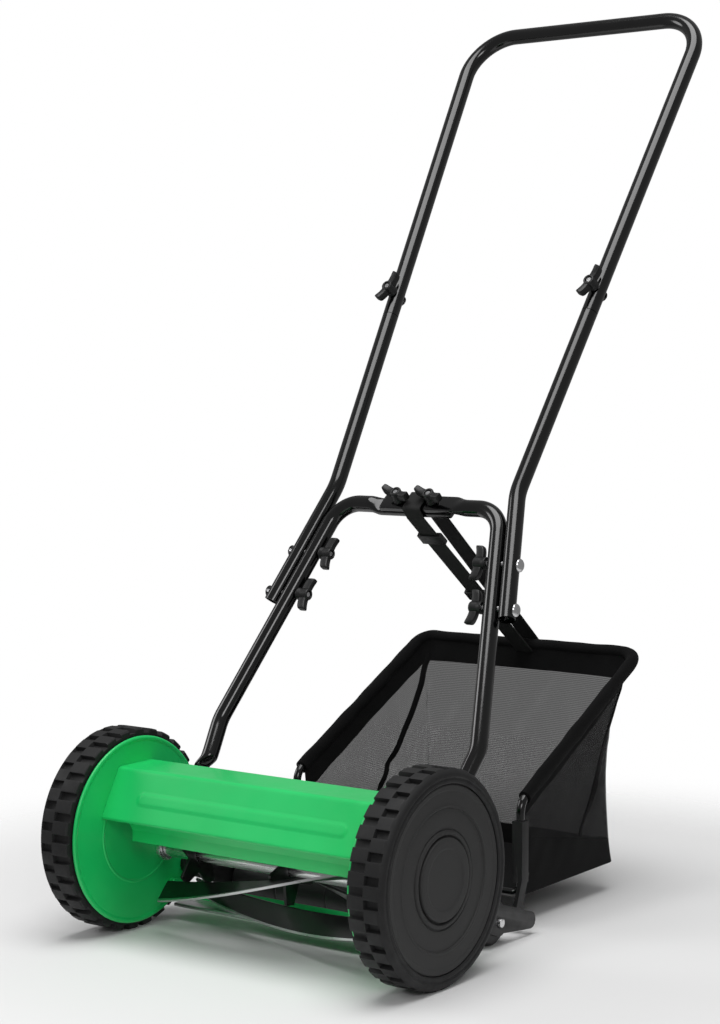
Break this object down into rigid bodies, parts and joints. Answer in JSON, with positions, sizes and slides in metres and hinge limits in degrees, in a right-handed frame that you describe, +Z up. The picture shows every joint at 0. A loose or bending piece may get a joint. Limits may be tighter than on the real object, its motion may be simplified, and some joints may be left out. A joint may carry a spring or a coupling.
{
  "type": "reel mower",
  "caption": "Push reel mower with treaded wheels, a green folded deck, a bolted tubular handle and a mesh grass catcher slung from a strap.",
  "frame": {"origin": "on the ground, under the middle of the whole mower's box", "axes": "+Z up, -Y the way the mower is pushed, +X along the wheel axle to the right as seen from the front"},
  "size_m": [0.381, 0.6404, 0.8826],
  "materials": {
    "green_paint": "semi-gloss powder coat",
    "tyre_rubber": "moulded, satin",
    "wheel_plastic": "fine grained",
    "black_plastic": "moulded, satin",
    "tube_enamel": "gloss enamel",
    "blade_enamel": "gloss enamel with ground edges",
    "bag_fabric": "open mesh over a solid lower band",
    "webbing": "woven polyester tape",
    "bright_steel": "zinc plated"
  },
  "bodies": {
    "frame": {"axle_stub_left": "bright_steel", "axle_stub_right": "bright_steel", "bed_knife": "bright_steel", "cutter_bar": "green_paint", "deck_cover": "green_paint", "front_tie_strip": "green_paint", "reel_bearing_left": "bright_steel", "reel_bearing_right": "bright_steel", "roller_axle": "bright_steel", "roller_bracket_left": "black_plastic", "roller_bracket_right": "black_plastic", "side_plate_left": "green_paint", "side_plate_right": "green_paint"},
    "left_wheel": {"hub_cap_left": "wheel_plastic", "tyre_left": "tyre_rubber", "wheel_left": "wheel_plastic"},
    "right_wheel": {"hub_cap_right": "wheel_plastic", "tyre_right": "tyre_rubber", "wheel_right": "wheel_plastic"},
    "left_pinion": {"pinion_left": "bright_steel"},
    "right_pinion": {"pinion_right": "bright_steel"},
    "reel": {"reel_blade_1": "blade_enamel", "reel_blade_2": "blade_enamel", "reel_blade_3": "blade_enamel", "reel_blade_4": "blade_enamel", "reel_blade_5": "blade_enamel", "reel_shaft": "bright_steel", "reel_spider_centre": "blade_enamel", "reel_spider_left": "blade_enamel", "reel_spider_right": "blade_enamel"},
    "roller": {"rear_roller": "black_plastic"},
    "handle": {"bolt_bottom_left": "bright_steel", "bolt_bottom_right": "bright_steel", "bolt_crossbar_left": "bright_steel", "bolt_crossbar_right": "bright_steel", "bolt_top_left": "bright_steel", "bolt_top_right": "bright_steel", "bolt_upper_left": "bright_steel", "bolt_upper_right": "bright_steel", "handle_lower_left": "tube_enamel", "handle_lower_right": "tube_enamel", "handle_mid_left": "tube_enamel", "handle_mid_right": "tube_enamel", "handle_upper": "tube_enamel"},
    "strap": {"strap": "webbing", "strap_slider_lower": "black_plastic", "strap_slider_upper": "black_plastic"},
    "catcher": {"catcher_bag": "bag_fabric", "catcher_frame": "tube_enamel", "catcher_post_left": "black_plastic", "catcher_post_right": "black_plastic"},
    "knob_bottom_left": {"knob_bottom_left": "black_plastic"},
    "knob_bottom_right": {"knob_bottom_right": "black_plastic"},
    "knob_crossbar_left": {"knob_crossbar_left": "black_plastic"},
    "knob_crossbar_right": {"knob_crossbar_right": "black_plastic"},
    "knob_top_left": {"knob_top_left": "black_plastic"},
    "knob_top_right": {"knob_top_right": "black_plastic"},
    "knob_upper_left": {"knob_upper_left": "black_plastic"},
    "knob_upper_right": {"knob_upper_right": "black_plastic"}
  },
  "joints": [
    {"name": "left_wheel_spin", "type": "hinge", "parent": "frame", "child": "left_wheel", "pos_m": [-0.1731, -0.22745, 0.0928], "axis": [1, 0, 0], "continuous": true},
    {"name": "right_wheel_spin", "type": "hinge", "parent": "frame", "child": "right_wheel", "pos_m": [0.1731, -0.22745, 0.0928], "axis": [1, 0, 0], "continuous": true},
    {"name": "left_pinion_spin", "type": "hinge", "parent": "frame", "child": "left_pinion", "pos_m": [-0.164, -0.19245, 0.07], "axis": [1, 0, 0], "continuous": true},
    {"name": "right_pinion_spin", "type": "hinge", "parent": "frame", "child": "right_pinion", "pos_m": [0.164, -0.19245, 0.07], "axis": [1, 0, 0], "continuous": true},
    {"name": "reel_spin", "type": "hinge", "parent": "frame", "child": "reel", "pos_m": [0, -0.19245, 0.07], "axis": [1, 0, 0], "continuous": true},
    {"name": "roller_spin", "type": "hinge", "parent": "frame", "child": "roller", "pos_m": [0, -0.08545, 0.022], "axis": [1, 0, 0], "continuous": true},
    {"name": "handle_tilt", "type": "hinge", "parent": "frame", "child": "handle", "pos_m": [0, -0.15545, 0.124], "axis": [1, 0, 0], "range_deg": [0, 8]},
    {"name": "strap_swing", "type": "hinge", "parent": "handle", "child": "strap", "pos_m": [0, 0.00258, 0.3851], "axis": [1, 0, 0], "range_deg": [-5.4, 0]},
    {"name": "catcher_lift", "type": "hinge", "parent": "frame", "child": "catcher", "pos_m": [0, -0.03345, 0.014], "axis": [1, 0, 0], "range_deg": [0, 7.7]},
    {"name": "knob_crossbar_left_turn", "type": "hinge", "parent": "handle", "child": "knob_crossbar_left", "pos_m": [-0.019, 0.00258, 0.3851], "axis": [0, -0.6691, 0.7431], "continuous": true},
    {"name": "knob_upper_left_turn", "type": "hinge", "parent": "handle", "child": "knob_upper_left", "pos_m": [-0.11968, 0.13212, 0.59063], "axis": [0, -0.8445, 0.5355], "continuous": true},
    {"name": "knob_top_left_turn", "type": "hinge", "parent": "handle", "child": "knob_top_left", "pos_m": [-0.10603, -0.02547, 0.337], "axis": [1, 0, 0], "continuous": true},
    {"name": "knob_bottom_left_turn", "type": "hinge", "parent": "handle", "child": "knob_bottom_left", "pos_m": [-0.11643, -0.04793, 0.2985], "axis": [1, 0, 0], "continuous": true},
    {"name": "knob_crossbar_right_turn", "type": "hinge", "parent": "handle", "child": "knob_crossbar_right", "pos_m": [0.019, 0.00258, 0.3851], "axis": [0, -0.6691, 0.7431], "continuous": true},
    {"name": "knob_upper_right_turn", "type": "hinge", "parent": "handle", "child": "knob_upper_right", "pos_m": [0.11968, 0.13212, 0.59063], "axis": [0, -0.8445, 0.5355], "continuous": true},
    {"name": "knob_top_right_turn", "type": "hinge", "parent": "handle", "child": "knob_top_right", "pos_m": [0.10603, -0.02547, 0.337], "axis": [-1, 0, 0], "continuous": true},
    {"name": "knob_bottom_right_turn", "type": "hinge", "parent": "handle", "child": "knob_bottom_right", "pos_m": [0.11643, -0.04793, 0.2985], "axis": [-1, 0, 0], "continuous": true}
  ],
  "couplings": [
    {"joint": "left_pinion_spin", "follows": "left_wheel_spin", "ratio": 4},
    {"joint": "right_pinion_spin", "follows": "right_wheel_spin", "ratio": 4},
    {"joint": "reel_spin", "follows": "right_wheel_spin", "ratio": 4},
    {"joint": "catcher_lift", "follows": "handle_tilt", "ratio": 0.95},
    {"joint": "strap_swing", "follows": "handle_tilt", "ratio": -0.666}
  ]
}
